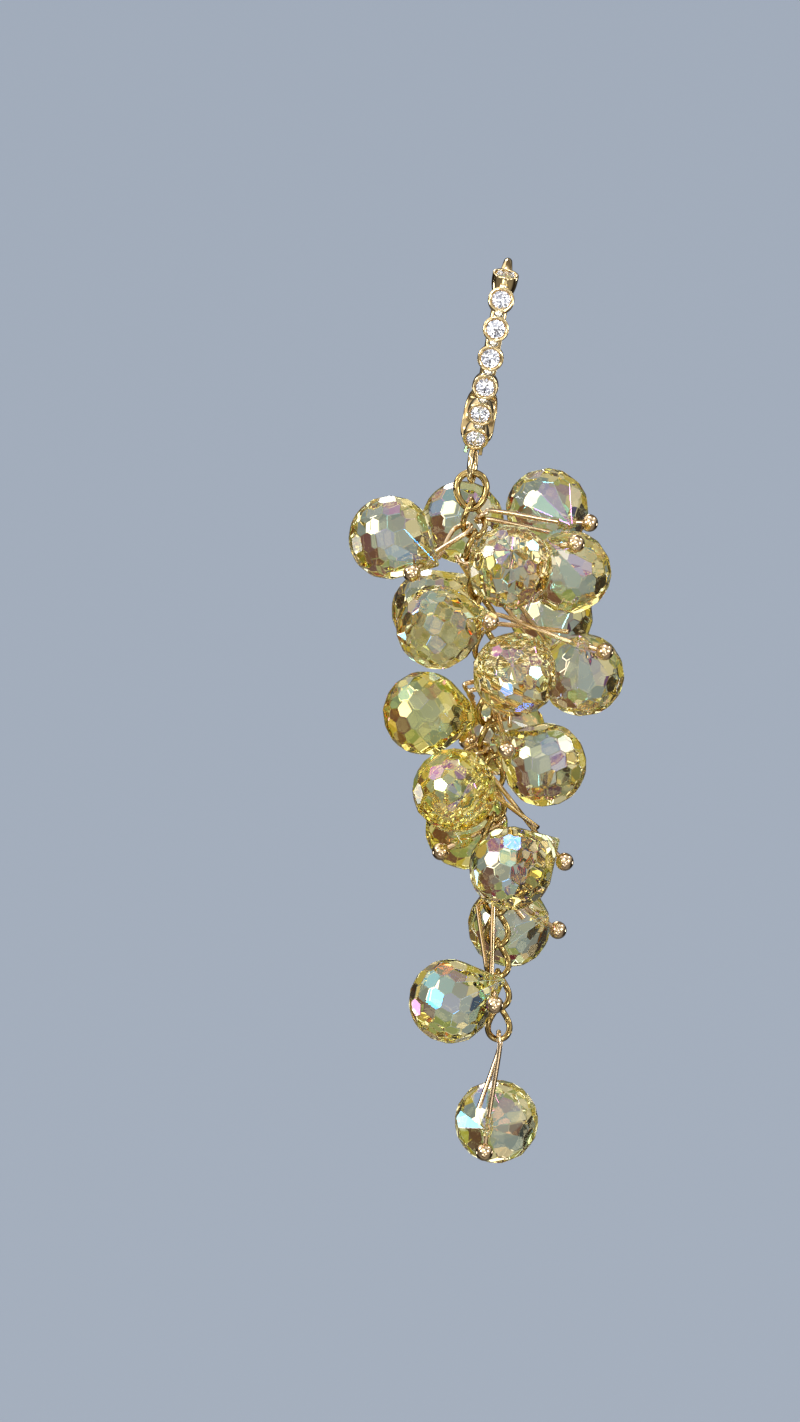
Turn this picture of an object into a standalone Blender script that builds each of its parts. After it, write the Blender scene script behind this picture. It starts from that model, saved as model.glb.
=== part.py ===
"""Hinged hoop earring with bezel-set stones and a chain that carries a cluster of faceted glass drops.

Metres, +Z up. The hoop is seen edge-on from the front, -Y, and the origin is where its ear wire crosses
the lobe. The hoop leans a little to one side, as it hangs in the hand, and the chain hangs nearly plumb.
"""

import math

import bmesh
import bpy
from mathutils import Matrix, Vector

MM = 0.001

# Hoop: a row of bezels on a curved rail, drawn out over the top into the ear wire
HOOP_LEAN = math.radians(10.4)
HOOP_HEIGHT = 18.1 * MM  # ear wire down to the hinge axis
HOOP_DEPTH = 12.2 * MM  # bezel faces to the back of the lever
FRONT_DEPTH = 5.5 * MM  # ear wire's crown forward to the bezel faces
ARC_RADIUS = 17.0 * MM
ARC_CENTRE_Z = -6.6 * MM
BEZEL_COUNT = 7
BEZEL_PITCH = 2.9 * MM
BEZEL_DIAMETER = 2.55 * MM
BEZEL_HEIGHT = 2.0 * MM
BEZEL_RIM = 0.32 * MM
BEZEL_SIDES = 12
SECOND_TILT = math.radians(-9)
TOP_TILT = math.radians(-66)
GRAIN_DIAMETER = 0.95 * MM
RAIL_WIDTH = 1.6 * MM
RAIL_THICKNESS = 0.6 * MM
EAR_WIRE = 0.85 * MM

# Brilliant-cut stones in the bezels
STONE_GAP = 0.1 * MM
STONE_TABLE = 0.58  # share of the stone's diameter
CROWN_ANGLE = 34
PAVILION_ANGLE = 41
STONE_MAINS = 8

# Rear lever on its hinge
LEVER_SWING = 4.4 * MM  # how far the lever bows out behind its hinge
LEVER_WIDTH = 3.2 * MM
LEVER_THICKNESS = 0.55 * MM
LIP_WIDTH = 2.3 * MM
NECK_WIDTH = 0.75 * MM
LIP_SHARE = -0.69  # height of the lever's lip, as a share of the hoop's height
NOTCH_GAP = 0.2 * MM
KNUCKLE_DIAMETER = 1.6 * MM
CHEEK_THICKNESS = 0.38 * MM
CHEEK_GAP = 0.15 * MM
HINGE_PIN = 0.7 * MM
HINGE_GAP = 0.1 * MM

# Loop under the lowest bezel, and the ring that hangs in it
LOOP_HEIGHT = 3.7 * MM
LOOP_DEPTH = 2.3 * MM
LOOP_WIRE = 0.58 * MM
LOOP_TURN = math.radians(16)
LOOP_SWING = math.radians(6)  # nearer plumb than the hoop
LOOP_SINK = 0.27 * MM  # into the metal of the lowest bezel
LOOP_SETBACK = 0.35 * MM
RING_WIDTH = 3.55 * MM
RING_HEIGHT = 4.2 * MM
RING_WIRE = 0.7 * MM
RING_PEAR = 0.16  # how far the ring narrows below
HANG_GAP = 0.22 * MM

# Twisted link chain
LINK_COUNT = 17
LINK_LENGTH = 4.2 * MM
LINK_WIDTH = 3.2 * MM
LINK_WIRE = 0.6 * MM
LINK_SEAT = 0.05 * MM  # how far neighbouring links are sunk into each other, as one fused chain
CHAIN_ROUTE = ((0.0, 0.0), (0.25, 0.16), (0.5, 0.24), (0.8, 0.3), (1.0, 0.32))  # way down, x in drop rooms

# Faceted drops and the ball-headed pins that carry them
DROP_DIAMETER = 8.3 * MM
DROP_LENGTH = 10.25 * MM
DROP_SIDES = 10
DROP_HOLE_FROM_TIP = 1.45 * MM
PIN_WIRE = 0.48 * MM
PIN_HOLE_GAP = 0.2 * MM
PIN_HEAD = 1.75 * MM
PIN_LOOP_GAP = 0.2 * MM
PIN_TAIL_SHORT = 0.2 * MM
PIN_STAND_OFF = 0.24 * MM  # from the drop's hole to the pin's shoulder and to its ball

# Rows of facets on a drop: height of the facet's normal above the girdle, and its turn in facet widths
DROP_ROWS = ((-68, 0.5), (-45, 0.0), (-22, 0.5), (0, 0.0), (21, 0.5))
ROW_INSET = 0.47  # distance of a facet from the ball's centre, in drop diameters

DROP_ROOM = max(DROP_DIAMETER, 0.8 * DROP_LENGTH)  # measure of the cluster

# Place of each drop's ball from the foot of the jump ring, in drop rooms; the link it hooks on, counted
# from the top; and the side of the pin on which its tip lies, in degrees round the pin
DROPS = (
    # name, x, y, z, link, turn
    ("a", 0.90, 1.05, 0.05, 0, 105),
    ("b", -0.10, 0.80, -0.10, 1, 135),
    ("c", 0.45, -0.70, -0.65, 2, 240),
    ("d", 1.15, 0.20, -0.70, 1, 60),
    ("e", -0.95, -0.20, -0.30, 0, 225),
    ("f", -0.40, -0.65, -1.35, 3, 270),
    ("g", 0.50, -0.75, -1.90, 5, 240),
    ("h", 1.30, 0.20, -1.90, 3, 60),
    ("i", 0.95, 1.10, -1.20, 2, 150),
    ("j", -0.55, 0.05, -2.35, 5, 150),
    ("k", 0.85, -0.60, -2.95, 6, 75),
    ("l", -0.20, -0.60, -3.25, 7, 120),
    ("m", 0.45, -0.90, -4.15, 8, 285),
    ("n", 0.45, 0.80, -4.85, 12, 105),
    ("o", -0.25, -0.65, -5.70, 12, 270),
    ("p", 0.30, 0.65, -7.15, 16, 195),
    ("q", -0.45, 0.50, -1.15, 1, 75),
    ("r", 0.40, 0.80, -2.60, 7, 90),
    ("s", -0.05, 0.75, -3.70, 10, 240),
)


def material(name, colour, roughness, metallic, transmission=0.0):
    mat = bpy.data.materials.new(name)
    mat.use_nodes = True
    shader = mat.node_tree.nodes["Principled BSDF"]
    shader.inputs["Base Color"].default_value = (*colour, 1.0)
    shader.inputs["Roughness"].default_value = roughness
    shader.inputs["Metallic"].default_value = metallic
    shader.inputs["Transmission Weight"].default_value = transmission
    mat.diffuse_color = (*colour, 1.0)
    return mat


def mesh_from(bm, name, smooth_angle=None):
    bmesh.ops.recalc_face_normals(bm, faces=bm.faces)
    mesh = bpy.data.meshes.new(name)
    bm.to_mesh(mesh)
    bm.free()
    if smooth_angle is not None:
        mesh.shade_smooth()
        mesh.set_sharp_from_angle(angle=math.radians(smooth_angle))
    return mesh


def add_object(name, mesh, mat=None, parent=None, location=(0, 0, 0)):
    obj = bpy.data.objects.new(name, mesh)
    bpy.context.scene.collection.objects.link(obj)
    obj.location = location
    obj.parent = parent
    if mat is not None and not mesh.materials:
        mesh.materials.append(mat)
    return obj


def add_empty(name, location=(0, 0, 0), parent=None):
    empty = bpy.data.objects.new(name, None)
    bpy.context.scene.collection.objects.link(empty)
    empty.location = location
    empty.parent = parent
    return empty


def helper(name, mesh, parent, location=(0, 0, 0)):
    obj = add_object(name, mesh, parent=parent, location=location)
    obj.hide_render = True
    obj.display_type = "WIRE"
    return obj


def boolean(obj, other, operation):
    modifier = obj.modifiers.new(other.name, "BOOLEAN")
    modifier.operation = operation
    modifier.solver = "EXACT"
    modifier.object = other


def smooth_points(points, steps):
    """Points on the Catmull-Rom curve through the given ones, steps to each stretch."""
    ends = [2 * points[0] - points[1], *points, 2 * points[-1] - points[-2]]
    out = []
    for a, b, c, d in zip(ends, ends[1:], ends[2:], ends[3:]):
        for k in range(steps):
            t = k / steps
            out.append(0.5 * ((2 * b) + (c - a) * t + (2 * a - 5 * b + 4 * c - d) * t**2
                              + (3 * b - a - 3 * c + d) * t**3))
    return [*out, points[-1]]


def carried_frames(path, side, closed=False):
    """Side and lift directions square to the path at each point, carried along it without twist."""
    count = len(path)
    frames = []
    for k, point in enumerate(path):
        before = path[k - 1] if k or closed else path[0]
        after = path[(k + 1) % count] if k < count - 1 or closed else path[-1]
        along = (after - before).normalized()
        side = (side - along * side.dot(along)).normalized()
        frames.append((point, side, along.cross(side)))
    return frames


def add_ring(bm, frame, section):
    point, side, lift = frame
    return [bm.verts.new(point + side * u + lift * v) for u, v in section]


def bridge(bm, first, second):
    """Faces between two rings; the second may have twice as many points as the first."""
    n = len(first)
    ratio = len(second) // n
    for i in range(n):
        j = (i + 1) % n
        if ratio == 1:
            bm.faces.new((first[i], first[j], second[j], second[i]))
        else:
            mid, far = second[2 * i + 1], second[(2 * i + 2) % len(second)]
            bm.faces.new((first[i], mid, second[2 * i]))
            bm.faces.new((first[i], first[j], far, mid))


def round_section(radius, sides, turn=0.0):
    angles = [turn + math.tau * k / sides for k in range(sides)]
    return [(radius * math.cos(a), radius * math.sin(a)) for a in angles]


def band_section(width, thickness):
    """Band with chamfered edges, eight points."""
    u, v = width / 2, thickness / 2
    c = min(u, v) / 2
    quarter = [(u, v - c), (u - c, v)]
    half = quarter + [(-x, y) for x, y in reversed(quarter)]
    return half + [(-x, -y) for x, y in half]


def sweep(bm, path, sections, side, closed=False):
    """Skin over a section at each point of a path, with flat ends unless it is closed."""
    rings = [add_ring(bm, frame, section)
             for frame, section in zip(carried_frames(path, side, closed), sections)]
    for first, second in zip(rings, rings[1:]):
        bridge(bm, first, second)
    if closed:
        bridge(bm, rings[-1], rings[0])
    else:
        bm.faces.new(rings[0])
        bm.faces.new(reversed(rings[-1]))
    return rings


def lathe(bm, profile, sides, place):
    """Closed solid turned from (radius, height) points that start and end on the axis."""
    rings = []
    for radius, height in profile:
        if radius == 0:
            rings.append([bm.verts.new(place @ Vector((0, 0, height)))])
        else:
            rings.append([bm.verts.new(place @ Vector((u, v, height)))
                          for u, v in round_section(radius, sides)])
    for first, second in zip(rings, rings[1:]):
        for i in range(sides):
            j = (i + 1) % sides
            low = first[i % len(first)], first[j % len(first)]
            high = second[j % len(second)], second[i % len(second)]
            bm.faces.new(dict.fromkeys(low + high))


def cut_solid(planes, size):
    """Lapidary cut, in units of one: a rough cube ground flat on each (normal, distance) in turn."""
    bm = bmesh.new()
    bmesh.ops.create_cube(bm, size=3.0)
    for normal, distance in planes:
        cut = bmesh.ops.bisect_plane(bm, geom=[*bm.verts, *bm.edges, *bm.faces], dist=1e-6,
                                     plane_co=normal * distance, plane_no=normal, clear_outer=True)
        edges = [item for item in cut["geom_cut"] if isinstance(item, bmesh.types.BMEdge)]
        bmesh.ops.holes_fill(bm, edges=edges, sides=0)
    bmesh.ops.remove_doubles(bm, verts=bm.verts, dist=1e-5)
    bmesh.ops.scale(bm, vec=(size, size, size), verts=bm.verts)
    return bm


def facet_row(height, turn, sides, distance):
    """Planes round +Z whose normals stand at one height in degrees, all at one distance."""
    rise = math.radians(height)
    for k in range(sides):
        a = math.tau * (k + turn) / sides
        yield Vector((math.cos(rise) * math.cos(a), math.cos(rise) * math.sin(a), math.sin(rise))), distance


# Hoop

def tilt_of(index):
    """Tilt of a bezel below the horizontal: even steps down the arc, the top one turned up."""
    return TOP_TILT if index == 0 else SECOND_TILT + (index - 1) * BEZEL_PITCH / ARC_RADIUS


def on_arc(tilt, depth=0.0):
    """Point of the hoop's front arc, some depth behind the bezel faces."""
    radius = ARC_RADIUS - depth
    return Vector((0, ARC_RADIUS - FRONT_DEPTH, ARC_CENTRE_Z)) + outward(tilt) * radius


def outward(tilt):
    return Vector((0, -math.cos(tilt), -math.sin(tilt)))


def downward(tilt):
    return Vector((0, math.sin(tilt), -math.cos(tilt)))


def bezel_centre(index):
    """Middle of a bezel's face."""
    if index:
        return on_arc(tilt_of(index))
    climb = (TOP_TILT + 2 * SECOND_TILT) / 3
    return on_arc(SECOND_TILT) - downward(climb) * BEZEL_PITCH


def bezel_place(index):
    tilt = tilt_of(index)
    turn = Matrix((Vector((1, 0, 0)), -downward(tilt), outward(tilt))).transposed()
    return Matrix.Translation(bezel_centre(index)) @ turn.to_4x4()


STONE_DIAMETER = (BEZEL_DIAMETER - 2 * BEZEL_RIM) * math.cos(math.pi / BEZEL_SIDES) - 2 * STONE_GAP
STONE_DEPTH = STONE_DIAMETER / 2 * math.tan(math.radians(PAVILION_ANGLE))
BACK = HOOP_DEPTH - FRONT_DEPTH
HINGE = Vector((0, BACK - LEVER_SWING, -HOOP_HEIGHT))
WIRE_REST_Y = BACK - LEVER_THICKNESS - EAR_WIRE  # where the ear wire comes down inside the lever


def bezel_mesh(indices):
    outer = BEZEL_DIAMETER / 2
    inner = outer - BEZEL_RIM
    pocket = STONE_DEPTH + 2 * STONE_GAP
    profile = (
        (0, -BEZEL_HEIGHT), (outer * 0.78, -BEZEL_HEIGHT), (outer, -BEZEL_HEIGHT * 0.35), (outer, 0),
        (outer - BEZEL_RIM * 0.35, BEZEL_RIM * 0.3), (inner, 0), (inner, -2 * STONE_GAP),
        (inner * 0.35, -pocket), (0, -pocket),
    )
    bm = bmesh.new()
    for index in indices:
        lathe(bm, profile, BEZEL_SIDES, bezel_place(index))
    return mesh_from(bm, "bezels", 40)


def grain_mesh(indices):
    bm = bmesh.new()
    for index in indices:
        middle = (bezel_centre(index) + bezel_centre(index + 1)) / 2
        tilt = (tilt_of(index) + tilt_of(index + 1)) / 2
        middle -= outward(tilt) * GRAIN_DIAMETER * 0.25
        bmesh.ops.create_uvsphere(bm, u_segments=10, v_segments=6, radius=GRAIN_DIAMETER / 2,
                                  matrix=Matrix.Translation(middle))
    return mesh_from(bm, "grains", 60)


def rail_and_wire_mesh():
    """One length of metal: band behind the bezels, drawn down to round wire over the lobe."""
    depth = BEZEL_HEIGHT - RAIL_THICKNESS / 4
    last = tilt_of(BEZEL_COUNT - 1)
    reach = KNUCKLE_DIAMETER / 2 + RAIL_THICKNESS / 2 + 2 * CHEEK_GAP
    end = on_arc(last, depth)
    foot = HINGE + (end - HINGE).normalized() * reach
    arc = [on_arc(SECOND_TILT + (last - SECOND_TILT) * k / 8, depth) for k in range(9)]
    crown = [Vector((0, y, z)) for y, z in (
        (WIRE_REST_Y, HOOP_HEIGHT * (LIP_SHARE - 0.06)),
        (WIRE_REST_Y, HOOP_HEIGHT * (LIP_SHARE + 0.15)), (BACK * 0.74, -HOOP_HEIGHT * 0.28),
        (BACK * 0.6, -HOOP_HEIGHT * 0.115), (BACK * 0.36, -HOOP_HEIGHT * 0.03), (0, 0),
        (-FRONT_DEPTH * 0.33, -HOOP_HEIGHT * 0.035), (-FRONT_DEPTH * 0.52, -HOOP_HEIGHT * 0.11))]
    wire = smooth_points([*crown, arc[0]], 2)[:-1]
    path = [*wire, *arc, foot]
    top = 2 * crown.index(Vector((0, 0, 0)))
    sections = []
    for k in range(len(path)):
        share = min(1.0, max(0.0, (k - top) / (len(wire) - top)))
        width = EAR_WIRE + (RAIL_WIDTH - EAR_WIRE) * share
        thickness = EAR_WIRE + (RAIL_THICKNESS - EAR_WIRE) * share
        sections.append(round_section(EAR_WIRE / 2, 8, math.pi / 8) if share == 0
                        else band_section(width, thickness))
    bm = bmesh.new()
    sweep(bm, path, sections, Vector((1, 0, 0)))
    return mesh_from(bm, "rail_and_wire", 40)


def cheek_mesh():
    """Two plates from the rail's foot to the hinge, with the hinge hole through them."""
    bm = bmesh.new()
    towards = on_arc(tilt_of(BEZEL_COUNT - 1), BEZEL_HEIGHT * 0.8) - HINGE
    arm = towards.length
    towards.normalize()
    across = Vector((1, 0, 0)).cross(towards)
    radius = KNUCKLE_DIAMETER / 2
    outline = [(radius * math.cos(a), radius * math.sin(a))
               for a in (math.pi / 2 + math.pi * k / 6 for k in range(7))]
    outline += [(arm, -RAIL_THICKNESS / 2), (arm, RAIL_THICKNESS / 2)]
    inner = NECK_WIDTH / 2 + CHEEK_GAP
    for x0 in (inner, -inner - CHEEK_THICKNESS):
        ends = [[bm.verts.new(HINGE + Vector((x, 0, 0)) + towards * u + across * v) for u, v in outline]
                for x in (x0, x0 + CHEEK_THICKNESS)]
        bridge(bm, *ends)
        for ring in ends:
            bm.faces.new(ring)
    return mesh_from(bm, "hinge_cheeks", 40)


def cylinder_mesh(name, diameter, length, sides=12):
    """Round bar along X about its own middle."""
    bm = bmesh.new()
    turn = Matrix.Rotation(math.pi / 2, 4, "Y")
    bmesh.ops.create_cone(bm, cap_ends=True, segments=sides, radius1=diameter / 2, radius2=diameter / 2,
                          depth=length, matrix=turn)
    return mesh_from(bm, name, 40)


def oval_path(width, height, points, pear=0.0):
    """Closed oval in the XZ plane, narrower below where pear is above zero."""
    angles = [math.tau * k / points for k in range(points)]
    return [Vector((width / 2 * math.sin(a) * (1 + pear * math.cos(a)), 0, height / 2 * math.cos(a)))
            for a in angles]


def loop_place():
    """Middle of the drop loop, its own plane XZ, under the lowest bezel."""
    low = bezel_centre(BEZEL_COUNT - 1) + downward(tilt_of(BEZEL_COUNT - 1)) * BEZEL_DIAMETER / 2
    hang = Matrix.Translation((0, LOOP_SETBACK, LOOP_SINK - LOOP_HEIGHT / 2))
    return (Matrix.Translation(low) @ Matrix.Rotation(-LOOP_SWING, 4, "Y") @ hang
            @ Matrix.Rotation(math.pi / 2 - LOOP_TURN, 4, "Z"))


def loop_mesh():
    bm = bmesh.new()
    place = loop_place()
    path = [place @ point for point in oval_path(LOOP_DEPTH - LOOP_WIRE, LOOP_HEIGHT - LOOP_WIRE, 14)]
    side = place.to_3x3() @ Vector((0, 1, 0))
    sweep(bm, path, [round_section(LOOP_WIRE / 2, 6)] * len(path), side, closed=True)
    return mesh_from(bm, "drop_loop", 60)


def brilliant_planes():
    """Girdle, crown mains, pavilion mains and table, for a stone one across with its girdle at nought."""
    planes = [*facet_row(0, 0.5, 2 * STONE_MAINS, 0.5 * math.cos(math.pi / (2 * STONE_MAINS)))]
    for angle, sign in ((CROWN_ANGLE, 1), (PAVILION_ANGLE, -1)):
        planes += facet_row(sign * (90 - angle), 0, STONE_MAINS, 0.5 * math.sin(math.radians(angle)))
    rise = 0.5 * (1 - STONE_TABLE) * math.tan(math.radians(CROWN_ANGLE))
    return [*planes, (Vector((0, 0, 1)), rise)]


def build_hoop(gold, clear, hoop):
    front = add_object("hoop_front", rail_and_wire_mesh(), gold, hoop)
    odd, even = range(1, BEZEL_COUNT, 2), range(0, BEZEL_COUNT, 2)
    for name, mesh in (
        ("bezels_even", bezel_mesh(even)), ("bezels_odd", bezel_mesh(odd)),
        ("grains", grain_mesh(range(BEZEL_COUNT - 1))), ("hinge_cheeks", cheek_mesh()),
        ("drop_loop", loop_mesh()),
    ):
        boolean(front, helper(name, mesh, hoop), "UNION")
    bore = cylinder_mesh("cheek_bore", HINGE_PIN + 2 * HINGE_GAP, 4 * LIP_WIDTH)
    boolean(front, helper("cheek_bore", bore, hoop, HINGE), "DIFFERENCE")
    stone = mesh_from(cut_solid(brilliant_planes(), STONE_DIAMETER), "round_stone")
    for index in range(BEZEL_COUNT):
        obj = add_object(f"hoop_stone_{index + 1}", stone, clear, hoop)
        obj.matrix_local = bezel_place(index)
    pin_length = NECK_WIDTH + 2 * (CHEEK_GAP + CHEEK_THICKNESS)
    add_object("hinge_pin", cylinder_mesh("hinge_pin", HINGE_PIN, pin_length), gold, hoop, HINGE)


# Lever

def build_lever(gold, hoop):
    """Sprung back arm: narrow neck at the hinge, a broad leaf, and a notched lip that takes the ear wire."""
    rows = (
        # y from the hinge and z from the origin, as shares of the hinge's run and of the hoop's height; width
        (0.00, -1.00, NECK_WIDTH * 0.9), (0.28, -0.99, NECK_WIDTH * 0.9), (0.50, -0.97, NECK_WIDTH * 1.4),
        (0.66, -0.95, LEVER_WIDTH * 0.85), (0.84, -0.91, LEVER_WIDTH), (0.96, -0.85, LEVER_WIDTH),
        (1.00, -0.785, LEVER_WIDTH), (0.96, -0.73, LEVER_WIDTH * 0.9), (0.84, LIP_SHARE - 0.01, LIP_WIDTH),
        (0.66, LIP_SHARE, LIP_WIDTH), (0.48, LIP_SHARE, LIP_WIDTH))
    run = LEVER_SWING - LEVER_THICKNESS / 2
    path = [Vector((0, HINGE.y + run * y, HOOP_HEIGHT * z)) - HINGE for y, z, _ in rows]
    bm = bmesh.new()
    sweep(bm, path, [band_section(width, LEVER_THICKNESS) for _, _, width in rows], Vector((1, 0, 0)))
    lever = add_object("back_lever", mesh_from(bm, "back_lever", 40), gold, hoop, HINGE)
    knuckle = helper("lever_knuckle", cylinder_mesh("lever_knuckle", KNUCKLE_DIAMETER, NECK_WIDTH), lever)
    boolean(lever, knuckle, "UNION")
    bore = helper("lever_bore", cylinder_mesh("lever_bore", HINGE_PIN + 2 * HINGE_GAP, 4 * LIP_WIDTH), lever)
    boolean(lever, bore, "DIFFERENCE")
    bm = bmesh.new()
    bmesh.ops.create_cube(bm, size=1)
    width = EAR_WIRE + 2 * NOTCH_GAP
    depth = 3 * EAR_WIRE
    bmesh.ops.scale(bm, vec=(width, depth, LIP_WIDTH), verts=bm.verts)
    notch_y = WIRE_REST_Y + EAR_WIRE / 2 + NOTCH_GAP - depth / 2
    notch = helper("lever_notch", mesh_from(bm, "lever_notch"), lever,
                   Vector((0, notch_y, HOOP_HEIGHT * LIP_SHARE)) - HINGE)
    boolean(lever, notch, "DIFFERENCE")
    return lever


# Ring and chain

LEAN = Matrix.Rotation(HOOP_LEAN, 4, "Y")
LOOP_FLOOR = LEAN @ loop_place() @ Vector((0, 0, LOOP_WIRE - LOOP_HEIGHT / 2))
RING_CENTRE = LOOP_FLOOR + Vector((0, 0, HANG_GAP + RING_WIRE - RING_HEIGHT / 2))
RING_FOOT = RING_CENTRE - Vector((0, 0, RING_HEIGHT / 2))
CHAIN_TOP = RING_FOOT + Vector((0, 0, RING_WIRE + HANG_GAP + LINK_WIRE / 2))
LINK_PITCH = LINK_LENGTH - 2 * LINK_WIRE + LINK_SEAT
CHAIN_LENGTH = LINK_COUNT * LINK_PITCH


def chain_point(down):
    """Middle of the chain a share of the way down it."""
    for (top, x0), (bottom, x1) in zip(CHAIN_ROUTE, CHAIN_ROUTE[1:]):
        if down <= bottom or bottom == 1.0:
            x = x0 + (x1 - x0) * (down - top) / (bottom - top)
            return CHAIN_TOP + Vector((x * DROP_ROOM, 0, -down * CHAIN_LENGTH))


def link_place(index):
    top, bottom = chain_point(index / LINK_COUNT), chain_point((index + 1) / LINK_COUNT)
    down = (bottom - top).normalized()
    side = (Vector((1, 0, 0)) - down * down.x).normalized()
    turn = Matrix((side, side.cross(down), -down)).transposed()
    return Matrix.Translation(top + down * (LINK_LENGTH - LINK_WIRE) / 2) @ turn.to_4x4()


def link_point(angle):
    """Centre line of a link: an oval turned a quarter from its foot to its head."""
    turn = math.pi / 4 * (1 + math.sin(angle))
    a, b = (LINK_WIDTH - LINK_WIRE) / 2, (LINK_LENGTH - LINK_WIRE) / 2
    out = a * math.cos(angle)
    return Vector((out * math.cos(turn), out * math.sin(turn), b * math.sin(angle)))


def links_mesh(indices):
    bm = bmesh.new()
    for index in indices:
        place = link_place(index)
        path = [place @ link_point(math.tau * k / 12) for k in range(12)]
        side = path[0] - place.translation
        sweep(bm, path, [round_section(LINK_WIRE / 2, 5)] * 12, side, closed=True)
    return mesh_from(bm, "links", 70)


def build_ring_and_chain(gold, chain_gold):
    bm = bmesh.new()
    oval = oval_path(RING_WIDTH - RING_WIRE, RING_HEIGHT - RING_WIRE, 16, RING_PEAR)
    path = [RING_CENTRE + point for point in oval]
    sweep(bm, path, [round_section(RING_WIRE / 2, 6)] * len(path), Vector((0, 1, 0)), closed=True)
    add_object("jump_ring", mesh_from(bm, "jump_ring", 70), gold)
    chain = add_object("link_chain", links_mesh(range(0, LINK_COUNT, 2)), chain_gold)
    boolean(chain, helper("links_between", links_mesh(range(1, LINK_COUNT, 2)), None), "UNION")


# Drops and pins

DROP_TIP = DROP_LENGTH / DROP_DIAMETER - 0.5  # above the ball's centre, in drop diameters
FLANK = math.asin(ROW_INSET / DROP_TIP)
HOLE_HEIGHT = DROP_TIP * DROP_DIAMETER - DROP_HOLE_FROM_TIP
PIN_REACH = DROP_HOLE_FROM_TIP * math.tan(FLANK) + PIN_STAND_OFF


def drop_mesh():
    """Glass onion drop with its ball at the origin and its tip up +Z, drilled across below the tip."""
    planes = [plane for height, turn in DROP_ROWS for plane in facet_row(height, turn, DROP_SIDES, ROW_INSET)]
    planes += facet_row(math.degrees(FLANK), 0.0, DROP_SIDES, ROW_INSET)
    planes += [(Vector((0, 0, 1)), DROP_TIP - 0.02), (Vector((0, 0, -1)), 0.5)]
    solid = add_object("drop_uncut", mesh_from(cut_solid(planes, DROP_DIAMETER), "drop_uncut"))
    bore = cylinder_mesh("drop_drill", PIN_WIRE + 2 * PIN_HOLE_GAP, DROP_DIAMETER, 8)
    drill = helper("drop_drill", bore, None, (0, 0, HOLE_HEIGHT))
    boolean(solid, drill, "DIFFERENCE")
    bpy.context.view_layer.update()
    cut = bpy.data.meshes.new_from_object(solid.evaluated_get(bpy.context.evaluated_depsgraph_get()))
    cut.name = "glass_drop"
    for spare in (solid, drill):
        bpy.data.objects.remove(spare)
    return cut


def hook_on_chain(index, aim):
    """Spot on a link's wire where a pin best leaves towards the aim: its centre, and the wire's run."""
    place = link_place(index)
    best = None
    for degrees in (270,) if index == LINK_COUNT - 1 else (-30, 0, 30, 150, 180, 210):
        a, b = math.radians(degrees), math.radians(degrees + 1)
        spot = place @ link_point(a)
        run = (place @ link_point(b) - spot).normalized()
        away = (spot - place.translation).normalized()
        to_aim = (aim - spot).normalized()
        score = abs(run.dot(to_aim)) - away.dot(to_aim)
        if best is None or score < best[0]:
            best = (score, spot, run)
    return best[1:]


def drop_layout(row):
    """Where a drop's ball, tip and pin lie, from its row of the table."""
    x, y, z, link, turn = row
    ball = RING_FOOT + Vector((x, y, z)) * DROP_ROOM
    spot, run = hook_on_chain(link, ball)
    reach = ball - spot
    lean_out = math.asin(min(0.98, HOLE_HEIGHT / reach.length))
    ahead = reach.normalized()
    up = (Vector((0, 0, 1)) - ahead * ahead.z).normalized()
    side = Matrix.Rotation(math.radians(turn), 3, ahead) @ up
    pin = ahead * math.cos(lean_out) + side * math.sin(lean_out)
    hole = spot + pin * reach.length * math.cos(lean_out)
    tip = (hole - ball).normalized()
    return ball, spot, run, hole, pin, tip


def pin_mesh(spot, run, hole, pin, tip):
    """Pin bent double over a link: tail, bend round the link's wire, long leg through the drop, ball head."""
    leave = (pin - run * pin.dot(run)).normalized()
    beside = run.cross(leave)
    bend = LINK_WIRE / 2 + PIN_WIRE / 2 + PIN_LOOP_GAP
    spread = pin.cross(tip)
    if spread.dot(beside) < 0:
        spread = -spread
    shoulder = spot + leave * (LINK_WIRE + PIN_WIRE)
    mouth = hole - pin * PIN_REACH
    tail_end = mouth - pin * PIN_TAIL_SHORT + spread * bend * 1.5
    path = [tail_end, shoulder + beside * bend]
    for k in range(5):
        a = math.pi * k / 4
        path.append(spot + beside * bend * math.cos(a) - leave * bend * math.sin(a))
    path += [shoulder - beside * bend, mouth]
    path.append(hole + pin * (PIN_REACH + PIN_HEAD * 0.1))
    radius = PIN_WIRE / 2
    head = PIN_HEAD / 2
    bm = bmesh.new()
    frames = carried_frames(path, run)
    rings = [add_ring(bm, frame, round_section(radius, 5)) for frame in frames]
    bm.faces.new(rings[0])
    point, side, lift = frames[-1]
    for k in range(1, 5):
        a = math.pi * k / 5
        centre = point + pin * head * (math.cos(math.asin(radius / head)) - math.cos(a))
        rings.append(add_ring(bm, (centre, side, lift), round_section(head * math.sin(a), 10, -math.pi / 10)))
    for first, second in zip(rings, rings[1:]):
        bridge(bm, first, second)
    bm.faces.new(rings[-1])
    return mesh_from(bm, "ball_pin", 60)


def build_drops(glass, pin_gold):
    mesh = drop_mesh()
    for name, *row in DROPS:
        ball, spot, run, hole, pin, tip = drop_layout(row)
        drop = add_object(f"drop_{name}", mesh, glass)
        turn = Matrix((pin, tip.cross(pin), tip)).transposed()
        drop.matrix_world = Matrix.Translation(ball) @ turn.to_4x4()
        add_object(f"pin_{name}", pin_mesh(spot, run, hole, pin, tip), pin_gold)


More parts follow.
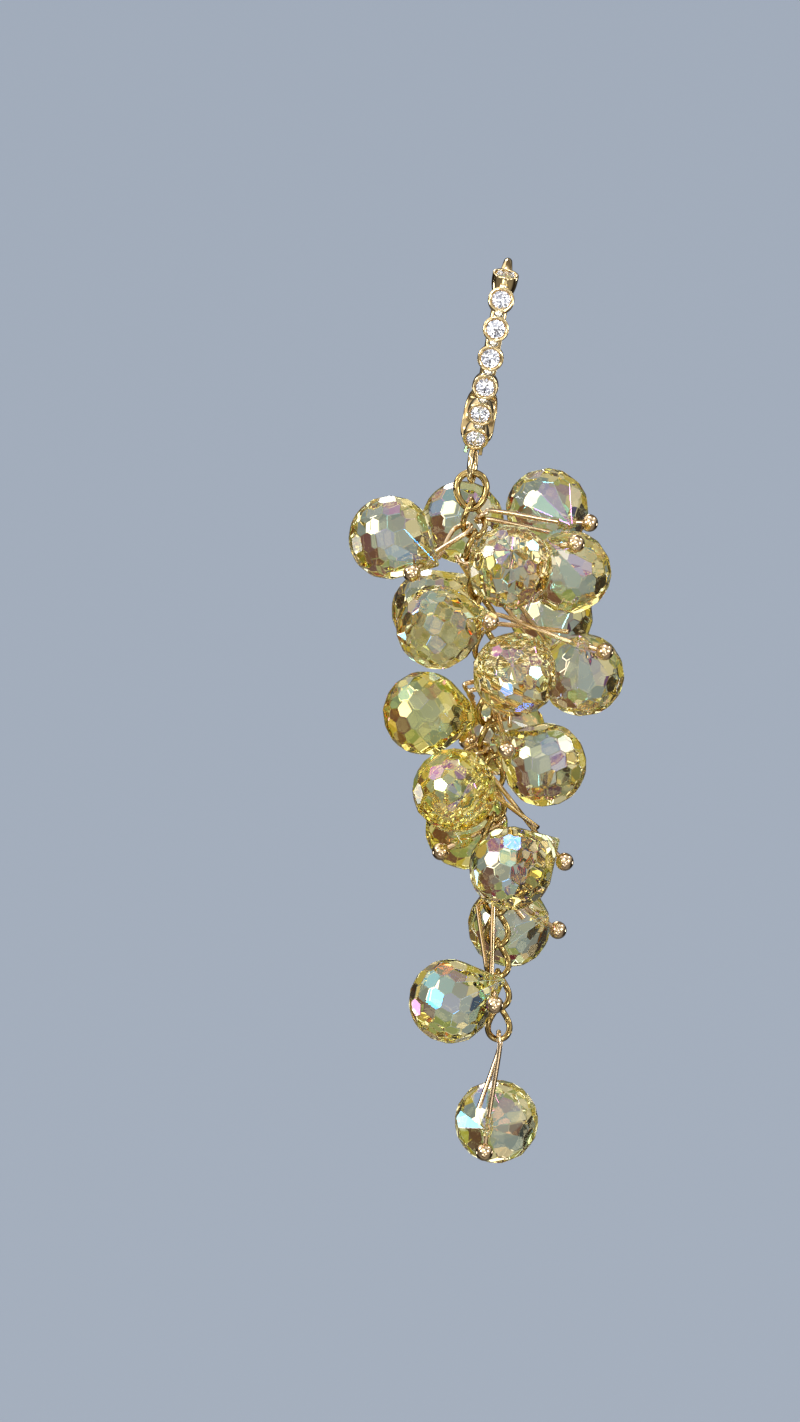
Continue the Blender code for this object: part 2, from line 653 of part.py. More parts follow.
def main():
    for obj in list(bpy.data.objects):
        bpy.data.objects.remove(obj)
    gold = material("polished_gold", (0.86, 0.62, 0.27), 0.16, 1.0)
    chain_gold = material("chain_gold", (0.74, 0.52, 0.22), 0.24, 1.0)
    pin_gold = material("pin_gold", (0.80, 0.58, 0.30), 0.2, 1.0)
    clear = material("clear_stone", (0.97, 0.97, 1.0), 0.02, 0.0, 1.0)
    glass = material("champagne_glass", (0.93, 0.9, 0.72), 0.03, 0.0, 1.0)
    hoop = add_empty("hoop")
    hoop.rotation_euler = (0, HOOP_LEAN, 0)
    build_hoop(gold, clear, hoop)
    build_lever(gold, hoop)
    build_ring_and_chain(gold, chain_gold)
    build_drops(glass, pin_gold)


main()
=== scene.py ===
"""Looks of the chandelier earring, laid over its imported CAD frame: metres, +Z up, stones facing -Y."""

import math

import bmesh
import bpy
import numpy as np
from mathutils import Matrix, Vector


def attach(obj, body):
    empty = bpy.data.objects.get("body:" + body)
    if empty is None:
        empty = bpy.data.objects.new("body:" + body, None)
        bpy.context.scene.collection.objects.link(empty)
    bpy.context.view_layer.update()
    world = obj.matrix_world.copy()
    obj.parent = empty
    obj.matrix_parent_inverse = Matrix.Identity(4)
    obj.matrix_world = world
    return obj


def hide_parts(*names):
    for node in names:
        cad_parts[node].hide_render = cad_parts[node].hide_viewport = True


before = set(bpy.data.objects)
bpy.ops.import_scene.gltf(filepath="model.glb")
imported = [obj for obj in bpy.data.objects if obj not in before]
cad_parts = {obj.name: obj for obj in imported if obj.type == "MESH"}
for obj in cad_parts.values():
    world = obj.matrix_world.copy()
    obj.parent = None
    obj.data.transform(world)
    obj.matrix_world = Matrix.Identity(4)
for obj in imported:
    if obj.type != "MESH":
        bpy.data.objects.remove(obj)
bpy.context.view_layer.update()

MM = 0.001

# Hoop
HOOP_LEAN = math.radians(10.4)
HOOP_HEIGHT = 18.1 * MM
FRONT_DEPTH = 5.5 * MM
BACK = 6.7 * MM
ARC_RADIUS = 17.0 * MM
ARC_CENTRE_Z = -6.6 * MM
BEZEL_COUNT = 7
BEZEL_PITCH = 2.9 * MM
BEZEL_RADIUS = 1.275 * MM
BEZEL_HEIGHT = 2.0 * MM
BEZEL_RIM = 0.32 * MM
SECOND_TILT = math.radians(-9)
TOP_TILT = math.radians(-66)
GRAIN_RADIUS = 0.475 * MM
RAIL_WIDTH = 1.6 * MM
RAIL_THICKNESS = 0.6 * MM
EAR_WIRE = 0.85 * MM
STONE_DIAMETER = 1.82 * MM

# Lever and hinge
LEVER_SWING = 4.4 * MM
LEVER_WIDTH = 3.2 * MM
LEVER_THICKNESS = 0.55 * MM
LIP_WIDTH = 2.3 * MM
LIP_SHARE = -0.69
NECK_WIDTH = 0.75 * MM
NOTCH_GAP = 0.2 * MM
KNUCKLE_RADIUS = 0.8 * MM
CHEEK_THICKNESS = 0.38 * MM
CHEEK_GAP = 0.15 * MM
HINGE_PIN = 0.7 * MM
HINGE_GAP = 0.1 * MM
HINGE = np.array([0, BACK - LEVER_SWING, -HOOP_HEIGHT])

# Loop, ring and chain
LOOP_HEIGHT = 3.7 * MM
LOOP_DEPTH = 2.3 * MM
LOOP_WIRE = 0.58 * MM
LOOP_TURN = math.radians(16)
LOOP_SWING = math.radians(6)
LOOP_SINK = 0.27 * MM
LOOP_SETBACK = 0.35 * MM
RING_WIDTH = 3.55 * MM
RING_HEIGHT = 4.2 * MM
RING_WIRE = 0.7 * MM
RING_PEAR = 0.16
HANG_GAP = 0.22 * MM
LINK_COUNT = 17
LINK_LENGTH = 4.2 * MM
LINK_WIDTH = 3.2 * MM
LINK_WIRE = 0.6 * MM
LINK_PITCH = LINK_LENGTH - 2 * LINK_WIRE + 0.05 * MM
CHAIN_ROUTE = ((0.0, 0.0), (0.25, 0.16), (0.5, 0.24), (0.8, 0.3), (1.0, 0.32))  # way down, x in drop diameters

# Drops and pins
DROP_DIAMETER = 8.3 * MM
DROP_LENGTH = 10.25 * MM
DROP_SIDES = 12
HOLE_FROM_TIP = 1.45 * MM
HOLE_DIAMETER = 0.88 * MM
PIN_WIRE = 0.48 * MM
PIN_HEAD = 1.75 * MM
PIN_LOOP_GAP = 0.2 * MM
PIN_TAIL_SHORT = 0.2 * MM
PIN_STAND_OFF = 0.24 * MM
DROP_ROWS = ((-74, 0.0), (-56, 0.5), (-38, 0.0), (-19, 0.5), (0, 0.0), (20, 0.5))  # height in degrees, turn
ROW_INSET = 0.477
DROP_TIP = DROP_LENGTH / DROP_DIAMETER - 0.5
FLANK = math.asin(ROW_INSET / DROP_TIP)
HOLE_HEIGHT = DROP_TIP * DROP_DIAMETER - HOLE_FROM_TIP
PIN_REACH = HOLE_FROM_TIP * math.tan(FLANK) + PIN_STAND_OFF
DROPS = (
    # name, x, y, z from the ring's foot in drop diameters, link hooked on, turn of the tip in degrees
    ("a", 0.90, 1.05, 0.05, 0, 105), ("b", -0.10, 0.80, -0.10, 1, 135),
    ("c", 0.45, -0.70, -0.65, 2, 240), ("d", 1.15, 0.20, -0.70, 1, 60),
    ("e", -0.95, -0.20, -0.30, 0, 225), ("f", -0.40, -0.65, -1.35, 3, 270),
    ("g", 0.50, -0.75, -1.90, 5, 240), ("h", 1.30, 0.20, -1.90, 3, 60),
    ("i", 0.95, 1.10, -1.20, 2, 150), ("j", -0.55, 0.05, -2.35, 5, 150),
    ("k", 0.85, -0.60, -2.95, 6, 75), ("l", -0.20, -0.60, -3.25, 7, 120),
    ("m", 0.45, -0.90, -4.15, 8, 285), ("n", 0.45, 0.80, -4.85, 12, 105),
    ("o", -0.25, -0.65, -5.70, 12, 270), ("p", 0.30, 0.65, -7.15, 16, 195),
    ("q", -0.45, 0.50, -1.15, 1, 75), ("r", 0.40, 0.80, -2.60, 7, 90),
    ("s", -0.05, 0.75, -3.70, 10, 240),
)
TINTED = {"peach": "cg", "honey": "fqr", "lemon": "jls"}

X, Y, Z = np.eye(3)
FILM_NAMES = {0: "bare", 148: "blue_coated", 178: "green_coated", 195: "gold_coated", 266: "lilac_coated"}  # nm
FILM_IOR = 2.12
DROP_IOR = 1.56
STONE_IOR = 2.1
BACKDROP = (0.32, 0.37, 0.45, 1)
LAMP_DISTANCE = 0.6
VIEW_MIDDLE = np.array([0, 0, -0.045])
PIXELS_PER_METRE = 10300
PICTURE = np.array([800, 1422])
CROWN_IN_PICTURE = np.array([508, 262])


# Surfaces

def unit(v):
    """Vectors of length one along those given."""
    return v / np.linalg.norm(v, axis=-1, keepdims=True)


def turned(angle, axis):
    """Rotation matrix about an axis through the origin."""
    return np.array(Matrix.Rotation(angle, 3, Vector(axis)))


LEAN = turned(HOOP_LEAN, Y)


def smooth_curve(points, steps):
    """Catmull-Rom curve: each stretch is a cubic whose slope at a point is half the chord of its neighbours."""
    p = np.asarray(points, float)
    p = np.vstack([2 * p[0] - p[1], p, 2 * p[-1] - p[-2]])
    t = np.linspace(0, 1, steps, endpoint=False)[None, :, None]
    a, b, c, d = (p[k:len(p) - 3 + k][:, None] for k in range(4))
    run = 0.5 * (2 * b + (c - a) * t + (2 * a - 5 * b + 4 * c - d) * t**2 + (3 * b - a - 3 * c + d) * t**3)
    return np.vstack([run.reshape(-1, p.shape[1]), p[-2]])


def swept(path, section, side, closed=False):
    """Grid of points: a section (u, v) set square to the path at each of its points, u along the side given."""
    along = np.roll(path, -1, 0) - np.roll(path, 1, 0) if closed else np.gradient(path, axis=0)
    along = unit(along)
    side = np.broadcast_to(side, path.shape)
    side = unit(side - along * (side * along).sum(1, keepdims=True))
    lift = np.cross(along, side)
    section = np.broadcast_to(section, (len(path), *np.shape(section)[-2:]))
    return path[:, None] + section[..., :1] * side[:, None] + section[..., 1:] * lift[:, None]


def oval_section(half_width, half_thickness, power=2.0, sides=16):
    """Superellipse: cosine and sine each raised to 2 over the power, from round at 2 to nearly square at 8."""
    a = math.tau * (np.arange(sides) + 0.5) / sides
    bend = 2 / np.asarray(power, float)[..., None]
    u = np.sign(np.cos(a)) * np.abs(np.cos(a)) ** bend * np.asarray(half_width)[..., None]
    v = np.sign(np.sin(a)) * np.abs(np.sin(a)) ** bend * np.asarray(half_thickness)[..., None]
    return np.stack(np.broadcast_arrays(u, v), -1)


def turned_profile(profile, sides, place=np.eye(4)):
    """Surface of revolution: each (radius, height) of the profile carried once round the local Z axis."""
    r, h = np.asarray(profile, float).T[:, :, None]
    a = math.tau * np.arange(sides)[None] / sides
    grid = np.stack(np.broadcast_arrays(r * np.cos(a), r * np.sin(a), h), -1)
    return grid @ place[:3, :3].T + place[:3, 3]


def quads(grid, closed=False, capped=True):
    """Points and faces of a grid whose rows are rings; the row of rings is closed, or its two ends are filled."""
    m, n = grid.shape[:2]
    index = np.arange(m * n).reshape(m, n)
    first, second = (index, np.roll(index, -1, 0)) if closed else (index[:-1], index[1:])
    faces = np.stack([first, np.roll(first, -1, 1), np.roll(second, -1, 1), second], -1).reshape(-1, 4).tolist()
    if capped and not closed:
        faces += [index[0][::-1].tolist(), index[-1].tolist()]
    return grid.reshape(-1, 3), faces


def mesh_of(name, parts, crease=35):
    """One mesh from several (points, faces), smooth but for edges sharper than the crease angle."""
    start, points, faces = 0, [], []
    for p, f in parts:
        points.append(p)
        faces += [[v + start for v in face] for face in f]
        start += len(p)
    mesh = bpy.data.meshes.new(name)
    mesh.from_pydata(np.vstack(points), [], faces)
    bm = bmesh.new()
    bm.from_mesh(mesh)
    bmesh.ops.remove_doubles(bm, verts=bm.verts, dist=1e-7)
    bmesh.ops.recalc_face_normals(bm, faces=bm.faces)
    bm.to_mesh(mesh)
    bm.free()
    mesh.shade_smooth()
    mesh.set_sharp_from_angle(angle=math.radians(crease))
    return mesh


def piece(name, mesh, material, nodes, body="earring"):
    """Adds a finished mesh to the object, riding a body and standing for the CAD nodes given."""
    obj = bpy.data.objects.new(name, mesh)
    bpy.context.scene.collection.objects.link(obj)
    mesh.materials.clear()
    mesh.materials.append(material)
    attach(obj, body)
    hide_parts(*nodes)
    return obj


def leant(parts):
    """Parts of the upright hoop turned to the angle at which it hangs."""
    return [(points @ LEAN.T, faces) for points, faces in parts]


# Hoop

def tilt_of(index):
    """Angle below the horizontal at which a bezel faces."""
    return TOP_TILT if index == 0 else SECOND_TILT + (index - 1) * BEZEL_PITCH / ARC_RADIUS


def outward(tilt):
    """Direction in which the front arc faces at a tilt below the horizontal."""
    tilt = np.asarray(tilt, float)
    return np.stack([0 * tilt, -np.cos(tilt), -np.sin(tilt)], -1)


def downward(tilt):
    """Direction down the front arc at a tilt."""
    return np.array([0, math.sin(tilt), -math.cos(tilt)])


def on_arc(tilt, depth=0.0):
    """Point on the circle of the front arc, less a depth behind the bezel faces."""
    return np.array([0, ARC_RADIUS - FRONT_DEPTH, ARC_CENTRE_Z]) + outward(tilt) * (ARC_RADIUS - depth)


def bezel_centre(index):
    """Middle of a bezel's face: all lie on the front arc but the top one, a pitch back along the bend."""
    if index:
        return on_arc(tilt_of(index))
    return on_arc(SECOND_TILT) - downward((TOP_TILT + 2 * SECOND_TILT) / 3) * BEZEL_PITCH


def bezel_place(index):
    """Frame of a bezel: X across, Y up the arc, Z outwards."""
    place = np.eye(4)
    tilt = tilt_of(index)
    place[:3, :3] = np.stack([X, -downward(tilt), outward(tilt)], 1)
    place[:3, 3] = bezel_centre(index)
    return place


LAST_TILT = tilt_of(BEZEL_COUNT - 1)
WIRE_REST_Y = BACK - LEVER_THICKNESS - EAR_WIRE


def rail_and_wire():
    """Superellipse section along one curve: round over the lobe, widening into the flat rail down the front."""
    depth = BEZEL_HEIGHT - RAIL_THICKNESS / 4
    end = on_arc(LAST_TILT, depth)
    foot = HINGE + unit(end - HINGE) * (KNUCKLE_RADIUS + RAIL_THICKNESS / 2 + 2 * CHEEK_GAP)
    crown = [(0, y, z) for y, z in (
        (WIRE_REST_Y, HOOP_HEIGHT * (LIP_SHARE - 0.06)), (WIRE_REST_Y, HOOP_HEIGHT * (LIP_SHARE + 0.15)),
        (BACK * 0.74, -HOOP_HEIGHT * 0.28), (BACK * 0.6, -HOOP_HEIGHT * 0.115),
        (BACK * 0.36, -HOOP_HEIGHT * 0.03), (0, 0), (-FRONT_DEPTH * 0.33, -HOOP_HEIGHT * 0.035),
        (-FRONT_DEPTH * 0.52, -HOOP_HEIGHT * 0.11))]
    arc = on_arc(np.linspace(SECOND_TILT, LAST_TILT, 9), depth)
    steps = 8
    path = smooth_curve([*crown, *arc, foot], steps)
    share = np.clip((np.arange(len(path)) / steps - 5) / 3, 0, 1)
    share = share * share * (3 - 2 * share)
    wide = (EAR_WIRE + (RAIL_WIDTH - EAR_WIRE) * share) / 2
    thick = (EAR_WIRE + (RAIL_THICKNESS - EAR_WIRE) * share) / 2
    tip = np.minimum(1, 0.35 + np.arange(len(path)) / 4)
    return quads(swept(path, oval_section(wide * tip, thick * tip, 2 + 0.8 * share, 20), X))


def bezel_cup(index):
    """Cup turned from a profile: tapering wall, rolled rim, and a cone under the stone."""
    outer, inner = BEZEL_RADIUS, BEZEL_RADIUS - BEZEL_RIM
    a = np.linspace(0, math.pi, 9)
    rim = np.stack([(outer + inner) / 2 + BEZEL_RIM / 2 * np.cos(a), BEZEL_RIM * 0.36 * np.sin(a)], -1)
    down = np.linspace(-1, 0, 9)[:-1]
    wall = np.stack([outer * (1 - 0.24 * down**2 * np.abs(down)), down * BEZEL_HEIGHT], -1)
    seat = [(inner, -0.2 * MM), (inner * 0.93, -0.26 * MM), (inner * 0.3, -0.88 * MM), (0, -0.92 * MM)]
    return quads(turned_profile([(0, -BEZEL_HEIGHT), *wall, *rim, *seat], 48, bezel_place(index)), capped=False)


def grain(index):
    """Bead between neighbouring bezels, its brightness partly a painted highlight from the paler gold it gets: a
    sphere of two angles.
    """
    middle = (bezel_centre(index) + bezel_centre(index + 1)) / 2
    tilt = (tilt_of(index) + tilt_of(index + 1)) / 2
    a = np.linspace(-math.pi / 2, math.pi / 2, 13)
    place = np.eye(4)
    place[:3, 3] = middle - outward(tilt) * GRAIN_RADIUS * 0.3
    return quads(turned_profile(GRAIN_RADIUS * np.stack([np.cos(a), np.sin(a)], -1), 20, place), capped=False)


def hinge_cheek(side):
    """Plate from the rail's foot to the hinge: a rounded bar outline given thickness along X."""
    towards = on_arc(LAST_TILT, BEZEL_HEIGHT * 0.8) - HINGE
    arm = np.linalg.norm(towards)
    towards = towards / arm
    across = np.cross(X, towards)
    a = np.linspace(math.pi / 2, 1.5 * math.pi, 17)
    outline = np.vstack([np.stack([np.cos(a), np.sin(a)], -1) * KNUCKLE_RADIUS,
                         [(arm, -RAIL_THICKNESS / 2), (arm, RAIL_THICKNESS / 2)]])
    ring = HINGE + outline[:, :1] * towards + outline[:, 1:] * across
    middle = ring.mean(0)
    inner = NECK_WIDTH / 2 + CHEEK_GAP
    rows = ((0, 0.9), (0.12, 1.0), (0.88, 1.0), (1, 0.9))
    grid = np.stack([middle + (ring - middle) * grow + X * side * (inner + CHEEK_THICKNESS * t) for t, grow in rows])
    return quads(grid)


def hinge_place():
    """Frame of the hinge: local Z along its axis."""
    place = np.eye(4)
    place[:3, :3] = np.stack([Y, Z, X], 1)
    place[:3, 3] = HINGE
    return place


def rivet():
    """Pin along X through the hinge: its profile has domed ends."""
    radius, half = HINGE_PIN / 2, NECK_WIDTH / 2 + CHEEK_GAP + CHEEK_THICKNESS
    a = np.linspace(0, math.pi / 2, 5)
    dome = np.stack([radius * np.sin(a), half - radius * 0.3 * (1 - np.cos(a))], -1)
    return quads(turned_profile(np.vstack([dome * (1, -1), dome[::-1]]), 28, hinge_place()), capped=False)


def knuckle():
    """Ring round the rivet with room to turn: a rounded oblong section turned about the hinge line."""
    bore = HINGE_PIN / 2 + HINGE_GAP
    wall = oval_section((KNUCKLE_RADIUS - bore) / 2, NECK_WIDTH / 2, 5, 20) + ((KNUCKLE_RADIUS + bore) / 2, 0)
    return quads(turned_profile(wall, 32, hinge_place()), closed=True)


def loop_place():
    """Turn and middle of the drop loop, sunk into the last bezel's foot."""
    low = bezel_centre(BEZEL_COUNT - 1) + downward(LAST_TILT) * BEZEL_RADIUS
    turn = turned(-LOOP_SWING, Y)
    middle = low + turn @ np.array([0, LOOP_SETBACK, LOOP_SINK - LOOP_HEIGHT / 2])
    return turn @ turned(math.pi / 2 - LOOP_TURN, Z), middle


def oval(width, height, count, pear=0.0):
    """Closed oval in XZ: half width times sine, half height times cosine, narrower below by the pear share."""
    a = math.tau * np.arange(count) / count
    return np.stack([width / 2 * np.sin(a) * (1 + pear * np.cos(a)), 0 * a, height / 2 * np.cos(a)], -1)


def drop_loop():
    """Round wire swept along a closed oval of sine and cosine."""
    turn, middle = loop_place()
    path = oval(LOOP_DEPTH - LOOP_WIRE, LOOP_HEIGHT - LOOP_WIRE, 48) @ turn.T + middle
    return quads(swept(path, oval_section(LOOP_WIRE / 2, LOOP_WIRE / 2), turn @ Y, True), closed=True)


# Lever

def lever_leaf():
    """Band swept along the lever's side view, its width and place eased between a few rows."""
    rows = np.array((
        # y from the hinge, z from the origin, both as shares; width
        (0.14, -1.00, NECK_WIDTH * 0.9), (0.28, -0.99, NECK_WIDTH * 0.9), (0.50, -0.97, NECK_WIDTH * 1.4),
        (0.66, -0.95, LEVER_WIDTH * 0.85), (0.84, -0.91, LEVER_WIDTH), (0.96, -0.85, LEVER_WIDTH),
        (1.00, -0.785, LEVER_WIDTH), (0.96, -0.73, LEVER_WIDTH * 0.9), (0.84, LIP_SHARE - 0.01, LIP_WIDTH),
        (0.66, LIP_SHARE, LIP_WIDTH), (0.48, LIP_SHARE, LIP_WIDTH)))
    eased = smooth_curve(rows, 8)
    run = LEVER_SWING - LEVER_THICKNESS / 2
    path = np.stack([0 * eased[:, 0], HINGE[1] + run * eased[:, 0], HOOP_HEIGHT * eased[:, 1]], -1)
    section = oval_section(eased[:, 2] / 2, np.full(len(path), LEVER_THICKNESS / 2), np.full(len(path), 5.0), 28)
    return quads(swept(path, section, X))


def notch():
    """Slot for the ear wire: a round-nosed bar standing through the lip."""
    radius = EAR_WIRE / 2 + NOTCH_GAP
    back = WIRE_REST_Y + radius
    a = np.linspace(0, math.pi, 13)
    outline = np.vstack([np.stack([radius * np.cos(a), back - radius + radius * np.sin(a)], -1),
                         [(-radius, back - 3 * EAR_WIRE), (radius, back - 3 * EAR_WIRE)]])
    flat = np.column_stack([outline, np.zeros(len(outline))])
    middle = HOOP_HEIGHT * LIP_SHARE
    return quads(np.stack([flat + Z * (middle - LIP_WIDTH / 2), flat + Z * (middle + LIP_WIDTH / 2)]))


def cut_by(mesh, cutter_mesh):
    """Mesh left when a second one is cut away from it."""
    solid = bpy.data.objects.new("solid", mesh)
    cutter = bpy.data.objects.new("cutter", cutter_mesh)
    for obj in (solid, cutter):
        bpy.context.scene.collection.objects.link(obj)
    modifier = solid.modifiers.new("cut", "BOOLEAN")
    modifier.operation, modifier.solver, modifier.object = "DIFFERENCE", "EXACT", cutter
    bpy.context.view_layer.update()
    cut = bpy.data.meshes.new_from_object(solid.evaluated_get(bpy.context.evaluated_depsgraph_get()))
    for obj in (solid, cutter):
        bpy.data.objects.remove(obj)
    return cut


# Cut stones and glass

def facet_row(height, turn, sides, distance):
    """Planes round +Z whose normals stand at one height in degrees, all at one distance from the centre."""
    rise = math.radians(height)
    a = math.tau * (np.arange(sides) + turn) / sides
    normals = np.stack([math.cos(rise) * np.cos(a), math.cos(rise) * np.sin(a), 0 * a + math.sin(rise)], -1)
    return [(n, distance) for n in normals]


def lapidary(planes, size, edge):
    """Solid ground from a rough cube by one plane after another, in units of one, its edges then eased."""
    bm = bmesh.new()
    bmesh.ops.create_cube(bm, size=3.0)
    for normal, distance in planes:
        cut = bmesh.ops.bisect_plane(bm, geom=[*bm.verts, *bm.edges, *bm.faces], dist=1e-6,
                                     plane_co=Vector(normal) * distance, plane_no=Vector(normal), clear_outer=True)
        rim = [item for item in cut["geom_cut"] if isinstance(item, bmesh.types.BMEdge)]
        bmesh.ops.holes_fill(bm, edges=rim, sides=0)
    bmesh.ops.remove_doubles(bm, verts=bm.verts, dist=1e-5)
    if edge:
        bmesh.ops.bevel(bm, geom=bm.edges[:], offset=edge, segments=1, affect="EDGES", clamp_overlap=True)
    bmesh.ops.scale(bm, vec=(size, size, size), verts=bm.verts)
    bmesh.ops.recalc_face_normals(bm, faces=bm.faces)
    mesh = bpy.data.meshes.new("cut_stone")
    bm.to_mesh(mesh)
    bm.free()
    return mesh


def brilliant():
    """Round brilliant one across: table, stars, mains and halves above the girdle, mains and halves below."""
    crown, table = 34, 0.58
    rise = 0.5 * (1 - table) * math.tan(math.radians(crown))
    star = 20
    star_reach = table / 2 * math.cos(math.pi / 8)
    planes = facet_row(0, 0.5, 32, 0.5 * math.cos(math.pi / 32))
    planes += facet_row(90 - crown, 0, 8, 0.5 * math.sin(math.radians(crown)))
    planes += facet_row(90 - 42, 0.5, 16, 0.4925 * math.sin(math.radians(42)))
    planes += facet_row(90 - star, 0.5, 8, star_reach * math.sin(math.radians(star))
                        + rise * math.cos(math.radians(star)))
    planes += facet_row(-90 + 41, 0, 8, 0.5 * math.sin(math.radians(41)))
    planes += facet_row(-90 + 42.5, 0.5, 16, 0.4925 * math.sin(math.radians(42.5)))
    return lapidary([*planes, (Z, rise)], STONE_DIAMETER, 0)


def glass_drop():
    """Onion drop with its ball at the origin and tip up +Z: rows of facets, long flanks, a hole below the tip."""
    planes = [plane for height, turn in DROP_ROWS for plane in facet_row(height, turn, DROP_SIDES, ROW_INSET)]
    planes += facet_row(math.degrees(FLANK), 0.0, DROP_SIDES, ROW_INSET)
    planes += [(Z, DROP_TIP - 0.02), (-Z, 0.5)]
    a = math.tau * np.arange(20) / 20
    ring = np.stack([0 * a, np.cos(a), np.sin(a)], -1) * HOLE_DIAMETER / 2 + Z * HOLE_HEIGHT
    drill = mesh_of("drill", [quads(np.stack([ring - X * DROP_DIAMETER, ring + X * DROP_DIAMETER]))])
    return cut_by(lapidary(planes, DROP_DIAMETER, 0.007), drill)


def placed(mesh, place):
    """Copy of a mesh put in its place by its points."""
    copy = mesh.copy()
    copy.transform(Matrix(place))
    return copy


# Ring, chain, pins

def hang_points():
    """Middle and foot of the jump ring, and the top of the chain that hangs in it."""
    turn, middle = loop_place()
    floor = LEAN @ (turn @ np.array([0, 0, LOOP_WIRE - LOOP_HEIGHT / 2]) + middle)
    centre = floor + Z * (HANG_GAP + RING_WIRE - RING_HEIGHT / 2)
    foot = centre - Z * RING_HEIGHT / 2
    return centre, foot, foot + Z * (RING_WIRE + HANG_GAP + LINK_WIRE / 2)


RING_CENTRE, RING_FOOT, CHAIN_TOP = hang_points()


def chain_point(down):
    """Middle of the chain a share of the way down it."""
    x = np.interp(down, *zip(*CHAIN_ROUTE))
    return CHAIN_TOP + np.array([x * DROP_DIAMETER, 0, -down * LINK_COUNT * LINK_PITCH])


def link_place(index):
    """Turn and middle of a link between its two points on the chain's line."""
    top, bottom = chain_point(index / LINK_COUNT), chain_point((index + 1) / LINK_COUNT)
    down = unit(bottom - top)
    side = unit(X - down * down[0])
    return np.stack([side, np.cross(side, down), -down], 1), top + down * (LINK_LENGTH - LINK_WIRE) / 2


def link_curve(a):
    """Centre line of a link: an oval that turns a quarter round its long axis from its foot to its head."""
    turn = math.pi / 4 * (1 + np.sin(a))
    out = (LINK_WIDTH - LINK_WIRE) / 2 * np.cos(a)
    return np.stack([out * np.cos(turn), out * np.sin(turn), (LINK_LENGTH - LINK_WIRE) / 2 * np.sin(a)], -1)


def link(index):
    """Round wire swept along the twisted oval, its section square to the oval at each point."""
    turn, middle = link_place(index)
    local = link_curve(math.tau * np.arange(48) / 48)
    section = oval_section(LINK_WIRE / 2, LINK_WIRE / 2, sides=14)
    return quads(swept(local @ turn.T + middle, section, local @ turn.T, True), closed=True)


def jump_ring():
    """Round wire swept along a closed pear-shaped oval."""
    path = RING_CENTRE + oval(RING_WIDTH - RING_WIRE, RING_HEIGHT - RING_WIRE, 64, RING_PEAR)
    return quads(swept(path, oval_section(RING_WIRE / 2, RING_WIRE / 2), Y, True), closed=True)


def hook_on_chain(index, aim):
    """Spot on a link's wire where a pin best leaves towards the aim, and the run of the wire there."""
    turn, middle = link_place(index)
    best = None
    for degrees in (270,) if index == LINK_COUNT - 1 else (-30, 0, 30, 150, 180, 210):
        spot, ahead = link_curve(np.radians([degrees, degrees + 1.0])) @ turn.T + middle
        run, away, to_aim = unit(ahead - spot), unit(spot - middle), unit(aim - spot)
        score = abs(run @ to_aim) - away @ to_aim
        if best is None or score < best[0]:
            best = score, spot, run
    return best[1:]


def drop_layout(x, y, z, index, turn):
    """Ball, hook and pin of a drop: its tip leans off the pin's line so that the hole lies on that line."""
    ball = RING_FOOT + np.array([x, y, z]) * DROP_DIAMETER
    spot, run = hook_on_chain(index, ball)
    reach = np.linalg.norm(ball - spot)
    lean_out = math.asin(min(0.98, HOLE_HEIGHT / reach))
    ahead = (ball - spot) / reach
    up = unit(Z - ahead * ahead[2])
    side = turned(math.radians(turn), ahead) @ up
    pin = ahead * math.cos(lean_out) + side * math.sin(lean_out)
    hole = spot + pin * reach * math.cos(lean_out)
    return ball, spot, run, hole, pin, unit(hole - ball)


def ball_pin(spot, run, hole, pin, tip):
    """Wire bent double over a link, its long leg through the drop, ended by a ball: tube along an eased path."""
    leave = unit(pin - run * (pin @ run))
    beside = np.cross(run, leave)
    bend = LINK_WIRE / 2 + PIN_WIRE / 2 + PIN_LOOP_GAP
    spread = np.cross(pin, tip)
    spread = spread * (1 if spread @ beside >= 0 else -1)
    shoulder = spot + leave * (LINK_WIRE + PIN_WIRE)
    mouth = hole - pin * PIN_REACH
    tail = mouth - pin * PIN_TAIL_SHORT + spread * bend * 1.5
    a = np.linspace(0, math.pi, 5)[:, None]
    turn = spot + beside * bend * np.cos(a) - leave * bend * np.sin(a)
    end = hole + pin * (PIN_REACH + PIN_HEAD * 0.1)
    path = smooth_curve([tail, shoulder + beside * bend, *turn, shoulder - beside * bend, mouth, hole, end], 8)
    wire = quads(swept(path, oval_section(PIN_WIRE / 2, PIN_WIRE / 2, sides=12), run))
    head = PIN_HEAD / 2
    a = np.linspace(0, math.pi, 17)
    place = np.eye(4)
    side = unit(np.cross(pin, run))
    place[:3, :3] = np.stack([side, np.cross(pin, side), pin], 1)
    place[:3, 3] = end + pin * head * math.cos(math.asin(PIN_WIRE / PIN_HEAD))
    ball = quads(turned_profile(head * np.stack([np.sin(a), -np.cos(a)], -1), 24, place), capped=False)
    return [wire, ball]


# Finishes

def group(name, inputs, outputs):
    """Empty node group with named sockets, and a function that adds nodes to it."""
    tree = bpy.data.node_groups.new(name, "ShaderNodeTree")
    for label, kind, value in inputs:
        socket = tree.interface.new_socket(label, in_out="INPUT", socket_type=f"NodeSocket{kind}")
        if value is not None:
            socket.default_value = value
    for label, kind in outputs:
        tree.interface.new_socket(label, in_out="OUTPUT", socket_type=f"NodeSocket{kind}")
    return tree, tree.nodes.new("NodeGroupInput"), tree.nodes.new("NodeGroupOutput")


